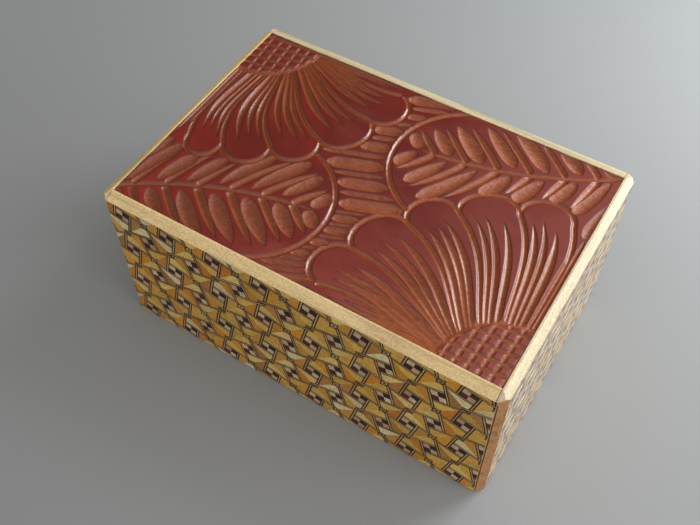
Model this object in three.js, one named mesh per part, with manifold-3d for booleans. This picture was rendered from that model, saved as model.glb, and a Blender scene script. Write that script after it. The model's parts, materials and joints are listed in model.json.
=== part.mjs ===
import * as THREE from 'three';
import { mergeVertices } from 'three/addons/utils/BufferGeometryUtils.js';
import Module from 'manifold-3d';

const wasm = await Module();
wasm.setup();

// Sizes in millimetres. X runs along the box, Y across it, Z up from the table.

// Outer sizes
const BOX_LENGTH = 152;
const BOX_WIDTH = 103;
const BOX_HEIGHT = 67.5;

// Light border round the top and the bevels of the edges
const END_BORDER = 3.2;
const SIDE_BORDER = 4.1;
const BORDER_FLAT = 0.7;
const BEVEL_DROP = 1.6;
const RIM_THICKNESS = 1.8;
const CORNER_BEVEL = 2.9;
const FOOT_BEVEL = 0.8;

// Clearances
const SLIDE_GAP = 0.3;
const RIM_GAP = 0.2;
const FOOT_GAP = 0.2;

// Board thicknesses
const MARQUETRY_THICKNESS = 0.8;
const SIDE_WALL_THICKNESS = 3.8;
const END_PANEL_THICKNESS = 1.6;
const INNER_SIDE_THICKNESS = 2;
const INNER_END_THICKNESS = 2.2;
const INNER_FLOOR_THICKNESS = 2;

// Grooves and tongues
const GROOVE_DEPTH = 2.6;
const TOP_TONGUE = 1.9;
const BOTTOM_TONGUE = 1.9;
const BOTTOM_FACE = 1.9;
const PANEL_SETBACK = 0.2;
const GROOVE_LIP = 1.7;
const GUIDE_TONGUE = 1.6;
const GUIDE_STRIP_WIDTH = 5.6;

// Travel of the sliding pieces
const END_TRAVEL = 5;
const BOTTOM_TRAVEL = 5;
const KEY_TRAVEL = 3.5;

// Hidden pieces behind the end panels
const CROSS_BAR_HEIGHT = 6;
const STOP_HEIGHT = 4;
const STOP_LENGTH = 40;
const KEY_HEIGHT = 6;
const KEY_LENGTH = 64.4;
const KEY_DROP = 8.3;
const KEY_NOSE_GAP = 0.6;
const KEY_NOSE_LENGTH = 2;
const KEY_RAIL_HEIGHT = 3;
const KEY_RAIL_LENGTH = 66;
const KEY_STOP_LENGTH = 3.7;

// Stops of the top and of the bottom board
const CLEAT_WIDTH = 4;
const CLEAT_HEIGHT = 3;
const CLEAT_END_GAP = 0.9;
const BLOCK_LENGTH = 8;
const BLOCK_WIDTH = 10;

// Carving of the top
const DISC_RADIUS = 23;
const DISC_SQUARE = 4;
const PETAL_REACH = 70;
const PETAL_LOBE = 8;
const PETAL_COUNT = 5;
const PETAL_FIRST_ANGLE = 5;
const PETAL_STEP = 16.7;
const PETAL_BEND_RADIUS = 45;
const PETAL_LAG = 8;
const PETAL_RETURN = 4;
const PETAL_VEINS = 3;
const VEIN_STEP_BACK = 3;
const OUTLINE_WIDTH = 1.9;
const OUTLINE_DEPTH = 0.7;
const GOUGE_DEPTH = 0.6;
const VEIN_WIDTH = 1.8;
const GOUGE_WIDTH = 4;
const LEAF_BASE_RISE = 2.5;
const LEAF_LENGTH = 71;
const LEAF_FIRST_HEADING = 33;
const LEAF_LAST_HEADING = 7;
const LEAF_MIDDLE = 0.62;
const LEAF_RADIUS = 27;
const LEAF_EDGE_FROM = -64;
const LEAF_EDGE_TO = 76;
const LEAF_VEINS = 6;
const LEAF_VEIN_LENGTH = 21;
const LEAF_TIP_SHORTENING = 0.1;
const UPPER_VEIN_FROM = 74;
const UPPER_VEIN_TO = 52;
const LOWER_VEIN_FROM = -46;
const LOWER_VEIN_TO = -24;
const GROUND_STROKES = 8;
const STROKE_LENGTH = 26;
const STROKE_SPACING = 5.6;
const STROKE_FROM = 14;
const STROKE_TO = 24;
const CARVING_MARGIN = 0.5;
const CARVING_REACH = 6;

// Faces worked out from the sizes
const endX = BOX_LENGTH / 2;
const sideY = BOX_WIDTH / 2;
const coreOutY = sideY - MARQUETRY_THICKNESS;
const coreInY = coreOutY - SIDE_WALL_THICKNESS;
const grooveY = coreInY + GROOVE_DEPTH;
const tongueY = grooveY - SLIDE_GAP;
const innerY = coreInY - INNER_SIDE_THICKNESS;
const panelY = sideY - SIDE_BORDER - RIM_GAP;
const panelX = endX - END_BORDER;
const rimZ = BOX_HEIGHT - RIM_THICKNESS;
const panelTopZ = BOX_HEIGHT - PANEL_SETBACK;
const tongueTopZ = rimZ - RIM_GAP;
const topUnderZ = tongueTopZ - TOP_TONGUE;
const ledgeZ = topUnderZ - SLIDE_GAP;
const bottomTopZ = BOTTOM_FACE + BOTTOM_TONGUE;
const floorZ = bottomTopZ + SLIDE_GAP;
const innerZ = floorZ + INNER_FLOOR_THICKNESS;
const veneerX = endX - MARQUETRY_THICKNESS;
const plateX = veneerX - END_PANEL_THICKNESS;
const wallEndX = plateX - SLIDE_GAP;
const grooveOutX = wallEndX - GROOVE_LIP;
const guideOutX = grooveOutX - SLIDE_GAP;
const guideInX = guideOutX - GUIDE_TONGUE;
const innerEndX = guideInX - SLIDE_GAP;
const compartmentX = innerEndX - INNER_END_THICKNESS;
const guideY = coreInY - SLIDE_GAP;
const guideInY = guideY - GUIDE_STRIP_WIDTH;
const crossBarZ = (floorZ + ledgeZ - CROSS_BAR_HEIGHT) / 2;
const keyZ = ledgeZ - KEY_DROP - KEY_HEIGHT;
const keyEndY = guideInY - KEY_NOSE_GAP;
const keyStartY = keyEndY - KEY_LENGTH;

// Timber colours and finishes
function timber(colour, roughness) {
  return new THREE.MeshStandardMaterial({ color: colour, roughness, metalness: 0 });
}

const borderWood = () => timber('#e2c48d', 0.5);
const coreWood = () => timber('#a47244', 0.6);
const marquetryWood = () => timber('#b9924f', 0.45);
const lacquer = () => timber('#7d3227', 0.35);
const innerWood = () => timber('#d8b67f', 0.65);
const keyWood = () => timber('#8a5a34', 0.55);

// Solid tools
function toSolid(geometry) {
  geometry.deleteAttribute('normal');
  geometry.deleteAttribute('uv');
  const merged = mergeVertices(geometry, 1e-4);
  const mesh = new wasm.Mesh({
    numProp: 3,
    vertProperties: new Float32Array(merged.attributes.position.array),
    triVerts: new Uint32Array(merged.index.array),
  });
  return new wasm.Manifold(mesh);
}

function block(x0, x1, y0, y1, z0, z1) {
  const geometry = new THREE.BoxGeometry(x1 - x0, y1 - y0, z1 - z0);
  geometry.translate((x0 + x1) / 2, (y0 + y1) / 2, (z0 + z1) / 2);
  return toSolid(geometry);
}

function prism(points, depth) {
  const shape = new THREE.Shape(points.map(([a, b]) => new THREE.Vector2(a, b)));
  const geometry = new THREE.ExtrudeGeometry(shape, { depth, bevelEnabled: false });
  geometry.translate(0, 0, -depth / 2);
  return geometry;
}

function toMesh(name, solid, material) {
  const data = solid.getMesh();
  const geometry = new THREE.BufferGeometry();
  const positions = new Float32Array(data.vertProperties);
  geometry.setAttribute('position', new THREE.BufferAttribute(positions, 3));
  geometry.setIndex(new THREE.BufferAttribute(new Uint32Array(data.triVerts), 1));
  geometry.computeVertexNormals();
  const mesh = new THREE.Mesh(geometry, material);
  mesh.name = name;
  return mesh;
}

// Outer form of the closed box: every outer piece is trimmed to it
function bevelledOutline(half, border) {
  const rise = BOX_HEIGHT - BEVEL_DROP;
  const flat = half - border + BORDER_FLAT;
  return [
    [-half + FOOT_BEVEL, 0],
    [half - FOOT_BEVEL, 0],
    [half, FOOT_BEVEL],
    [half, rise],
    [flat, BOX_HEIGHT],
    [-flat, BOX_HEIGHT],
    [-half, rise],
    [-half, FOOT_BEVEL],
  ];
}

function outerForm() {
  const across = prism(bevelledOutline(sideY, SIDE_BORDER), BOX_LENGTH);
  across.rotateX(Math.PI / 2);
  across.rotateZ(Math.PI / 2);
  const along = prism(bevelledOutline(endX, END_BORDER), BOX_WIDTH);
  along.rotateX(Math.PI / 2);
  const cornerX = endX - CORNER_BEVEL;
  const cornerY = sideY - CORNER_BEVEL;
  const plan = prism([
    [-cornerX, -sideY],
    [cornerX, -sideY],
    [endX, -cornerY],
    [endX, cornerY],
    [cornerX, sideY],
    [-cornerX, sideY],
    [-endX, cornerY],
    [-endX, -cornerY],
  ], BOX_HEIGHT);
  plan.translate(0, 0, BOX_HEIGHT / 2);
  return toSolid(across).intersect(toSolid(along)).intersect(toSolid(plan));
}

const form = outerForm();

function trimmed(solid) {
  return solid.intersect(form);
}

// The two ends are alike when turned half a turn about the Y axis
function turned(solid) {
  return solid.rotate([0, 180, 0]).translate([0, 0, BOX_HEIGHT]);
}

// Long sides
function sideNotches() {
  const topNotch = block(panelX - SLIDE_GAP, endX, -sideY, sideY, ledgeZ, BOX_HEIGHT);
  const footNotch = block(-endX, SLIDE_GAP - panelX, -sideY, sideY, -1, floorZ);
  return topNotch.add(footNotch);
}

function backWall() {
  const lipTop = BOTTOM_FACE - SLIDE_GAP;
  let wall = block(-wallEndX, wallEndX, coreInY, coreOutY, 0, rimZ);
  wall = wall.subtract(block(-endX, endX, coreInY - 1, grooveY, ledgeZ, BOX_HEIGHT));
  wall = wall.subtract(block(-endX, endX, coreInY - 1, grooveY, lipTop, floorZ));
  wall = wall.subtract(block(innerEndX, grooveOutX, coreInY - 1, grooveY, floorZ - 1, BOX_HEIGHT));
  wall = wall.subtract(block(-grooveOutX, -innerEndX, coreInY - 1, grooveY, floorZ - 1, BOX_HEIGHT));
  return trimmed(wall.subtract(sideNotches()));
}

function backMarquetry() {
  const sheet = block(-wallEndX, wallEndX, coreOutY, sideY, 0, rimZ);
  return trimmed(sheet.subtract(sideNotches()));
}

function backRim() {
  return trimmed(block(-panelX, panelX - RIM_GAP, sideY - SIDE_BORDER, sideY, rimZ, BOX_HEIGHT));
}

function mirroredY(solid) {
  return solid.mirror([0, 1, 0]);
}

function longSides() {
  return [
    toMesh('front_wall', mirroredY(backWall()), coreWood()),
    toMesh('back_wall', backWall(), coreWood()),
    toMesh('front_marquetry', mirroredY(backMarquetry()), marquetryWood()),
    toMesh('back_marquetry', backMarquetry(), marquetryWood()),
    toMesh('front_rim', mirroredY(backRim()), borderWood()),
    toMesh('back_rim', backRim(), borderWood()),
  ];
}

// Inner box
function innerBox() {
  const side = block(-compartmentX, compartmentX, innerY, coreInY, innerZ, ledgeZ);
  const end = block(compartmentX, innerEndX, -coreInY, coreInY, innerZ, ledgeZ);
  const floor = block(-innerEndX, innerEndX, -coreInY, coreInY, floorZ, innerZ);
  return [
    toMesh('inner_front_wall', mirroredY(side), innerWood()),
    toMesh('inner_back_wall', side, innerWood()),
    toMesh('inner_left_wall', end.mirror([1, 0, 0]), innerWood()),
    toMesh('inner_right_wall', end, innerWood()),
    toMesh('inner_floor', floor, innerWood()),
  ];
}

// Fixed pieces in the hollow behind the right end panel
function fixedBar(y0, y1, z0, z1) {
  return block(innerEndX, wallEndX, y0, y1, z0, z1);
}

function hollowPieces() {
  const lowerStopTop = crossBarZ - END_TRAVEL - SLIDE_GAP;
  const upperStop = crossBarZ + CROSS_BAR_HEIGHT + SLIDE_GAP;
  const lowerRailTop = keyZ - SLIDE_GAP;
  const upperRail = keyZ + KEY_HEIGHT + SLIDE_GAP;
  const railEnd = keyEndY - KEY_NOSE_LENGTH;
  const railStart = railEnd - KEY_RAIL_LENGTH;
  const stopHalf = STOP_LENGTH / 2;
  return {
    lower_stop: fixedBar(-stopHalf, stopHalf, lowerStopTop - STOP_HEIGHT, lowerStopTop),
    upper_stop: fixedBar(-stopHalf, stopHalf, upperStop, upperStop + STOP_HEIGHT),
    lower_key_rail: fixedBar(railStart, railEnd, lowerRailTop - KEY_RAIL_HEIGHT, lowerRailTop),
    upper_key_rail: fixedBar(railStart, railEnd, upperRail, upperRail + KEY_RAIL_HEIGHT),
    key_stop: fixedBar(
      keyStartY - SLIDE_GAP - KEY_STOP_LENGTH, keyStartY - SLIDE_GAP, lowerRailTop, upperRail),
  };
}

const turnedNames = {
  lower_stop: 'upper_stop',
  upper_stop: 'lower_stop',
  lower_key_rail: 'upper_key_rail',
  upper_key_rail: 'lower_key_rail',
  key_stop: 'key_stop',
};

function fixedHollowPieces() {
  const pieces = Object.entries(hollowPieces());
  const right = pieces.map(([name, solid]) => toMesh(`right_${name}`, solid, innerWood()));
  const left = pieces.map(([name, solid]) =>
    toMesh(`left_${turnedNames[name]}`, turned(solid), innerWood()));
  return [...right, ...left];
}

// Hidden key bars
function keyBar() {
  const x0 = innerEndX + SLIDE_GAP;
  return block(x0, wallEndX, keyStartY, keyEndY, keyZ, keyZ + KEY_HEIGHT);
}

// End panels
function guideStrip(low, high) {
  const body = block(guideInX, plateX, guideInY, guideY, low, high);
  const tongue = block(guideInX, guideOutX, guideInY, tongueY, low, high);
  return body.add(tongue);
}

function notchedGuideStrip(low, high) {
  const depth = KEY_TRAVEL - KEY_NOSE_GAP + SLIDE_GAP;
  const z0 = keyZ - SLIDE_GAP;
  const z1 = keyZ + KEY_HEIGHT + SLIDE_GAP;
  const notch = block(guideInX - 1, plateX + 1, guideInY - 1, guideInY + depth, z0, z1);
  return guideStrip(low, high).subtract(notch);
}

function endPanelPieces() {
  const strip = [floorZ + SLIDE_GAP + END_TRAVEL, ledgeZ];
  return {
    guide_strip_front: mirroredY(guideStrip(...strip)),
    guide_strip_back: notchedGuideStrip(...strip),
    cross_bar: block(
      guideInX, plateX, -guideInY, guideInY, crossBarZ, crossBarZ + CROSS_BAR_HEIGHT),
  };
}

function rightEnd() {
  const panel = trimmed(block(plateX, veneerX, -sideY, sideY, FOOT_GAP, ledgeZ));
  const sheet = trimmed(block(veneerX, endX, -sideY, sideY, FOOT_GAP, ledgeZ));
  const hidden = Object.entries(endPanelPieces()).map(([name, solid]) =>
    toMesh(`right_${name}`, solid, innerWood()));
  return [
    toMesh('right_end_panel', panel, coreWood()),
    toMesh('right_end_marquetry', sheet, marquetryWood()),
    ...hidden,
    toMesh('right_key_bar', keyBar(), keyWood()),
  ];
}

function leftEnd() {
  const panel = trimmed(block(-veneerX, -plateX, -sideY, sideY, floorZ, rimZ));
  const sheet = trimmed(block(-endX, -veneerX, -sideY, sideY, floorZ, rimZ));
  const rim = trimmed(block(-endX, -panelX - RIM_GAP, -sideY, sideY, rimZ, BOX_HEIGHT));
  const hidden = Object.entries(endPanelPieces()).map(([name, solid]) =>
    toMesh(`left_${name}`, turned(solid), innerWood()));
  return [
    toMesh('left_end_panel', panel, coreWood()),
    toMesh('left_end_marquetry', sheet, marquetryWood()),
    toMesh('left_end_rim', rim, borderWood()),
    ...hidden,
    toMesh('left_key_bar', turned(keyBar()), keyWood()),
  ];
}

// Bottom board with its end batten
function bottomBoard() {
  const blockHalf = BLOCK_LENGTH / 2;
  const widthHalf = BLOCK_WIDTH / 2 + SLIDE_GAP;
  const face = block(-panelX, wallEndX, -guideY, guideY, 0, BOTTOM_FACE);
  const tongue = block(-panelX, wallEndX, -tongueY, tongueY, BOTTOM_FACE, bottomTopZ);
  const pocket = block(
    -blockHalf - SLIDE_GAP, blockHalf + BOTTOM_TRAVEL + SLIDE_GAP,
    -widthHalf, widthHalf, BOTTOM_FACE, floorZ);
  return face.add(tongue).subtract(pocket);
}

function bottomPieces() {
  const batten = trimmed(block(-veneerX, -panelX, -sideY, sideY, 0, bottomTopZ));
  const sheet = trimmed(block(-endX, -veneerX, -sideY, sideY, 0, bottomTopZ));
  const half = BLOCK_LENGTH / 2;
  const side = BLOCK_WIDTH / 2;
  const stop = block(-half, half, -side, side, BOTTOM_FACE + SLIDE_GAP, floorZ);
  return [
    toMesh('bottom_board', bottomBoard(), innerWood()),
    toMesh('left_bottom_batten', batten, coreWood()),
    toMesh('left_bottom_batten_marquetry', sheet, marquetryWood()),
    toMesh('bottom_stop_block', stop, keyWood()),
  ];
}

// Carving tools: a gouge is a V cut along a line, tapering to a point at both ends
function gouge(line, width, depth) {
  const count = line.length - 1;
  const top = panelTopZ + 0.4;
  const positions = [];
  const station = (point, next, share) => {
    const direction = next.clone().sub(point).normalize();
    const half = width / 2 * share;
    const left = [point.x - direction.y * half, point.y + direction.x * half, top];
    const right = [point.x + direction.y * half, point.y - direction.x * half, top];
    const low = [point.x, point.y, panelTopZ - depth * share];
    return [left, right, low];
  };
  const rings = [];
  for (let i = 1; i < count; i += 1) {
    const share = Math.sin(Math.PI * i / count) ** 0.4;
    rings.push(station(line[i], line[i + 1], share));
  }
  const face = (a, b, c) => positions.push(...a, ...b, ...c);
  const start = [line[0].x, line[0].y, top];
  const end = [line[count].x, line[count].y, top];
  const first = rings[0];
  const last = rings[rings.length - 1];
  for (let k = 0; k < 3; k += 1) {
    const m = (k + 1) % 3;
    face(start, first[m], first[k]);
    face(end, last[k], last[m]);
    for (let i = 0; i + 1 < rings.length; i += 1) {
      face(rings[i][k], rings[i][m], rings[i + 1][m]);
      face(rings[i][k], rings[i + 1][m], rings[i + 1][k]);
    }
  }
  const geometry = new THREE.BufferGeometry();
  geometry.setAttribute('position', new THREE.Float32BufferAttribute(positions, 3));
  return toSolid(geometry);
}

function roundPlug(centre, radius) {
  const geometry = new THREE.CylinderGeometry(radius, radius, CARVING_REACH, 48);
  geometry.rotateX(Math.PI / 2);
  geometry.translate(centre.x, centre.y, panelTopZ);
  return toSolid(geometry);
}

const degrees = Math.PI / 180;
const flowerCentre = new THREE.Vector2(-panelX, panelY);
const lobeRadius = PETAL_REACH - PETAL_LOBE;

function flowerPoint(radius, angle) {
  const turn = -angle * degrees;
  return new THREE.Vector2(
    flowerCentre.x + radius * Math.cos(turn), flowerCentre.y + radius * Math.sin(turn));
}

function sampled(steps, place) {
  return Array.from({ length: steps + 1 }, (_, i) => place(i / steps));
}

// Angle of the line between two petals: it bends as it runs out from the disc
function petalSide(index, radius) {
  const full = PETAL_FIRST_ANGLE + index * PETAL_STEP;
  if (radius < PETAL_BEND_RADIUS) {
    const inward = (PETAL_BEND_RADIUS - radius) / (PETAL_BEND_RADIUS - DISC_RADIUS);
    return full - PETAL_LAG * inward ** 2;
  }
  const outward = (radius - PETAL_BEND_RADIUS) / (PETAL_REACH - PETAL_BEND_RADIUS);
  return full - PETAL_RETURN * outward ** 2;
}

// One petal: the outline round its tip and back to the disc, and its three veins
function petalCuts(index) {
  const near = petalSide(index - 1, lobeRadius);
  const far = petalSide(index, lobeRadius);
  const tip = sampled(8, (t) => {
    const lean = 2 * t - 1;
    const radius = lobeRadius + PETAL_LOBE * Math.sqrt(1 - lean * lean);
    return flowerPoint(radius, near + t * (far - near));
  });
  const side = sampled(5, (t) => {
    const radius = lobeRadius + t * (DISC_RADIUS - lobeRadius);
    return flowerPoint(radius, petalSide(index, radius));
  });
  const cuts = [gouge([...tip, ...side.slice(1)], OUTLINE_WIDTH, OUTLINE_DEPTH)];
  for (let k = 0; k < PETAL_VEINS; k += 1) {
    const share = (k + 0.8) / (PETAL_VEINS + 0.4);
    const reach = PETAL_REACH - PETAL_LOBE - k * VEIN_STEP_BACK;
    const vein = sampled(5, (t) => {
      const radius = DISC_RADIUS + t * (reach - DISC_RADIUS);
      const from = petalSide(index - 1, radius);
      return flowerPoint(radius, from + share * (petalSide(index, radius) - from));
    });
    cuts.push(gouge(vein, VEIN_WIDTH, GOUGE_DEPTH));
  }
  return cuts;
}

// The flower's centre: a rim and crossing lines
function discCuts() {
  const rim = sampled(12, (t) => flowerPoint(DISC_RADIUS, -6 + t * 102));
  const cuts = [gouge(rim, OUTLINE_WIDTH, OUTLINE_DEPTH)];
  const { x, y } = flowerCentre;
  for (let offset = DISC_SQUARE; offset < DISC_RADIUS - VEIN_WIDTH; offset += DISC_SQUARE) {
    const reach = Math.sqrt(DISC_RADIUS ** 2 - offset ** 2);
    const down = sampled(4, (t) => new THREE.Vector2(x + offset, y - t * reach));
    const along = sampled(4, (t) => new THREE.Vector2(x + t * reach, y - offset));
    cuts.push(gouge(down, VEIN_WIDTH / 2, GOUGE_DEPTH));
    cuts.push(gouge(along, VEIN_WIDTH / 2, GOUGE_DEPTH));
  }
  return cuts;
}

// A line that starts at a point with one heading and ends with another
function bentLine(start, length, fromHeading, toHeading, steps) {
  const turn = (toHeading - fromHeading) * degrees;
  const first = fromHeading * degrees;
  return sampled(steps, (t) => {
    const heading = first + t * turn;
    return new THREE.Vector2(
      start.x + length / turn * (Math.sin(heading) - Math.sin(first)),
      start.y - length / turn * (Math.cos(heading) - Math.cos(first)));
  });
}

const leafBase = new THREE.Vector2(-panelX, LEAF_BASE_RISE - panelY);

function leafPoint(share) {
  const turn = LEAF_FIRST_HEADING + share * (LEAF_LAST_HEADING - LEAF_FIRST_HEADING);
  const line = bentLine(leafBase, LEAF_LENGTH * share, LEAF_FIRST_HEADING, turn, 1);
  return share === 0 ? leafBase.clone() : line[1];
}

const leafMiddle = leafPoint(LEAF_MIDDLE);

// The leaf in the next corner: midrib, round edge, thin veins and broad gouges between them
function leafCuts() {
  const rib = bentLine(leafBase, LEAF_LENGTH, LEAF_FIRST_HEADING, LEAF_LAST_HEADING, 8);
  const edge = sampled(12, (t) => {
    const turn = (LEAF_EDGE_FROM + t * (LEAF_EDGE_TO - LEAF_EDGE_FROM)) * degrees;
    return new THREE.Vector2(
      leafMiddle.x + LEAF_RADIUS * Math.cos(turn), leafMiddle.y + LEAF_RADIUS * Math.sin(turn));
  });
  const cuts = [rib, edge].map((line) => gouge(line, OUTLINE_WIDTH, OUTLINE_DEPTH));
  for (let i = 0; i < LEAF_VEINS; i += 1) {
    const length = LEAF_VEIN_LENGTH * (1 - LEAF_TIP_SHORTENING * Math.max(0, i - 3) ** 2);
    const foot = leafPoint((i + 0.3) / (LEAF_VEINS + 0.3));
    const next = leafPoint((i + 0.8) / (LEAF_VEINS + 0.3));
    for (const [from, to] of [[UPPER_VEIN_FROM, UPPER_VEIN_TO], [LOWER_VEIN_FROM, LOWER_VEIN_TO]]) {
      const off = new THREE.Vector2(Math.cos(from * degrees), Math.sin(from * degrees));
      const start = next.clone().addScaledVector(off, GOUGE_WIDTH);
      cuts.push(gouge(bentLine(foot, length, from, to, 5), VEIN_WIDTH, GOUGE_DEPTH));
      cuts.push(gouge(bentLine(start, length - GOUGE_WIDTH, from, to, 5), GOUGE_WIDTH, GOUGE_DEPTH));
    }
  }
  return cuts;
}

// Broad strokes on the ground between the leaves
function groundCuts() {
  return Array.from({ length: GROUND_STROKES }, (_, i) => {
    const start = new THREE.Vector2(-STROKE_LENGTH / 2, (i + 0.5) * STROKE_SPACING);
    return gouge(bentLine(start, STROKE_LENGTH, STROKE_FROM, STROKE_TO, 4), GOUGE_WIDTH, GOUGE_DEPTH);
  });
}

function onPanel(solid) {
  return solid.intersect(block(
    CARVING_MARGIN - panelX, panelX - CARVING_MARGIN,
    CARVING_MARGIN - panelY, panelY - CARVING_MARGIN, 0, BOX_HEIGHT + CARVING_REACH));
}

function carvingCuts() {
  const flower = discCuts();
  for (let i = 1; i <= PETAL_COUNT; i += 1) {
    flower.push(...petalCuts(i));
  }
  const margin = OUTLINE_WIDTH;
  const flowerPlug = roundPlug(flowerCentre, PETAL_REACH + margin);
  const leafPlug = roundPlug(leafMiddle, LEAF_RADIUS + margin).rotate([0, 0, 180]);
  const leaf = wasm.Manifold.union(leafCuts()).subtract(flowerPlug);
  const ground = wasm.Manifold.union(groundCuts()).subtract(flowerPlug).subtract(leafPlug);
  const half = onPanel(wasm.Manifold.union([...flower, leaf, ground]));
  return half.add(half.rotate([0, 0, 180]));
}

// Carved top with its end batten and stop cleat
function carvedPanel() {
  const face = block(-panelX, panelX, -panelY, panelY, tongueTopZ, panelTopZ);
  const tongue = block(-panelX, panelX, -tongueY, tongueY, topUnderZ, tongueTopZ);
  return face.add(tongue).subtract(carvingCuts());
}

function topPieces() {
  const batten = trimmed(block(panelX, veneerX, -sideY, sideY, topUnderZ, rimZ));
  const sheet = trimmed(block(veneerX, endX, -sideY, sideY, topUnderZ, rimZ));
  const rim = trimmed(block(panelX, endX, -sideY, sideY, rimZ, BOX_HEIGHT));
  const cleatX = -compartmentX + SLIDE_GAP;
  const cleatY = innerY - CLEAT_END_GAP;
  const cleat = block(
    cleatX, cleatX + CLEAT_WIDTH, -cleatY, cleatY, topUnderZ - CLEAT_HEIGHT, topUnderZ);
  return [
    toMesh('carved_top_panel', carvedPanel(), lacquer()),
    toMesh('right_top_batten', batten, coreWood()),
    toMesh('right_top_batten_marquetry', sheet, marquetryWood()),
    toMesh('right_top_rim', rim, borderWood()),
    toMesh('top_stop_cleat', cleat, innerWood()),
  ];
}

const box = new THREE.Group();
box.name = 'puzzle_box';
box.add(
  ...longSides(),
  ...innerBox(),
  ...fixedHollowPieces(),
  ...rightEnd(),
  ...leftEnd(),
  ...bottomPieces(),
  ...topPieces(),
);

export default box;
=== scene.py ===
"""Looks of the puzzle box: carved lacquered top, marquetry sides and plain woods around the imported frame."""
import json
import math
import random

import bpy
import numpy as np
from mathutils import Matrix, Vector


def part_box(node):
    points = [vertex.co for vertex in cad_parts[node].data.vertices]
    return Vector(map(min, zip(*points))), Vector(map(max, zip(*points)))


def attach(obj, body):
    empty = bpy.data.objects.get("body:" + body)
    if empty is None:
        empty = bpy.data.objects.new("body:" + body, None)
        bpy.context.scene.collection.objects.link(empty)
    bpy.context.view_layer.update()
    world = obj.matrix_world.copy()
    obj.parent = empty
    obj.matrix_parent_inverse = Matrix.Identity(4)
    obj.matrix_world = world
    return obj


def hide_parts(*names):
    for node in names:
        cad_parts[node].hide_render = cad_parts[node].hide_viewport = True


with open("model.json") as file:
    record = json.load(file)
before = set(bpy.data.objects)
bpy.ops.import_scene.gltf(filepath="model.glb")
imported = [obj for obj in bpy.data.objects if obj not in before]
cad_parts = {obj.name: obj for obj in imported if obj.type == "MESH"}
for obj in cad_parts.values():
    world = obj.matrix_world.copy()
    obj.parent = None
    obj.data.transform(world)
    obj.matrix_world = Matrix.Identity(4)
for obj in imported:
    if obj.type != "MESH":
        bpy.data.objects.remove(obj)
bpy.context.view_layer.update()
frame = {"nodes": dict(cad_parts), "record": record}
MM = 0.001
SQUARE_CORNERS = ((-1, -1), (1, -1), (1, 1), (-1, 1))

# Camera, at the photograph's viewing angle: lengths in millimetres, the frame's offset in pixels
IMAGE_WIDTH = 700
FOCAL_LENGTH = 46.19
SENSOR_WIDTH = 36.0
CAMERA_PLACE = (100.9, -175.5, 297.0)
CAMERA_TARGET = (0.87, -11.42, 33.75)
FRAME_OFFSET_X = -4.9
FRAME_OFFSET_Y = 4.1
NEAREST_SEEN = 10

# Floor and lamps: places and sizes in millimetres, power in watts
FLOOR_SIZE = 20000
FLOOR_TONE = (148, 150, 151)
FLOOR_ROUGHNESS = 0.9
FLOOR_SPECULAR = 0.1
LAMP_TARGET = (0, 0, 30)
LAMPS = {
    "window_light": {"place": (226, 316, 205), "size": (220, 120), "power": 1.46, "tone": (250, 254, 255)},
    "side_light": {"place": (760, 20, 250), "size": (800, 420), "power": 4.1, "tone": (250, 254, 255)},
    "sky_light": {"place": (330, 520, 720), "size": (260, 260), "power": 1.5, "tone": (240, 246, 255)},
}

# Surroundings: they fade from front to back, and glow overhead, more to the right than to the left.
# A span is of directions, as parts of a unit vector along Y, Z or X.
WORLD_TONE = (255, 251, 246)
WORLD_FRONT = 0.79
WORLD_BACK = 0.08
WORLD_SPAN = (-1, 0.45)
ZENITH_STRENGTH = 0.7
ZENITH_SPAN = (0.62, 0.92)
ZENITH_SIDE_SPAN = (-0.5, -0.1)
ZENITH_LEFT_SHARE = 0.15

# Lacquer: tones from 0 to 255, places and depths of cuts in millimetres, waves per metre
# Smooth lacquer goes from the left tone through the middle one to the right one along X. The right tone is
# paler and violet: painted sheen and painted light, where the near right of the top gets more light and
# reflects the bright room.
LACQUER_LEFT = (122, 34, 20)
LACQUER_MIDDLE = (100, 26, 18)
LACQUER_RIGHT_PAINTED_SHEEN = (122, 52, 42)
LACQUER_STOPS = (0.02, 0.42, 0.85)
LACQUER_REACH = 75
LACQUER_SHADOW = (84, 33, 25)
CLOUD_WAVES = (30, 60, 60)
CLOUD_CONTRAST = 1.2
# Smooth lacquer is brighter towards the near edge: painted sheen.
NEAR_PAINTED_SHEEN = 1.3
NEAR_PAINTED_SHEEN_SPAN = (-40, -5)
# Cut wood is lighter towards the right: painted light, where more light falls.
CUT_LEFT = (136, 63, 25)
CUT_RIGHT_PAINTED_LIT = (165, 84, 40)
CUT_DARK = (104, 48, 28)
CUT_PAINTED_LIGHT_SPAN = (-50, 20)
CUT_FIBRE_SPAN = (0.3, 0.62)
SHADOW_DEPTHS = (0.01, 0.05)
CUT_DEPTHS = (0.1, 0.27)
TORN_WAVES = (260, 2400, 2400)
TORN_GRAIN_WAVES = 2600
LACQUER_ROUGHNESS = 0.29
CUT_ROUGHNESS = 0.5
LACQUER_SPECULAR = 0.56
LACQUER_BUMP = 0.22
FIBRE_RELIEF = 0.6
GRAIN_RELIEF = 0.5
SMOOTH_RELIEF = 0.12

# Plain woods: tones from 0 to 255, waves per metre along the grain and across it, bumps in millimetres
WHITE = (255, 255, 255)
BORDER_TONE = (252, 218, 158)
CORE_TONE = (206, 158, 102)
INNER_TONE = (222, 190, 140)
KEY_TONE = (138, 92, 56)
# Paler, less yellow tones for the back and right rims: painted sheen, where these rims reflect the bright
# room.
RIM_TONES_PAINTED_SHEEN = {"back_rim": (222, 203, 161), "right_top_rim": (234, 213, 177)}
BAND_WAVES = (18, 300)
LIGHT_BAND_SHARE = 0.35
FIBRE_WAVES = (160, 3800)
PORE_WAVES = 1500
PORE_SHADE = 0.84
END_GRAIN_SHADE = (228, 186, 148)
END_GRAIN_SHARE = 0.8
END_GRAIN_FACING = (0.35, 0.95)
WOOD_SPECULAR = 0.4
WOOD_BUMP = 0.04
EDGE_WIDTH = 0.22
EDGE_ANGLE = 40
EDGE_SHADE = 1.05
EDGE_ROUGHNESS = 0.1

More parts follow.
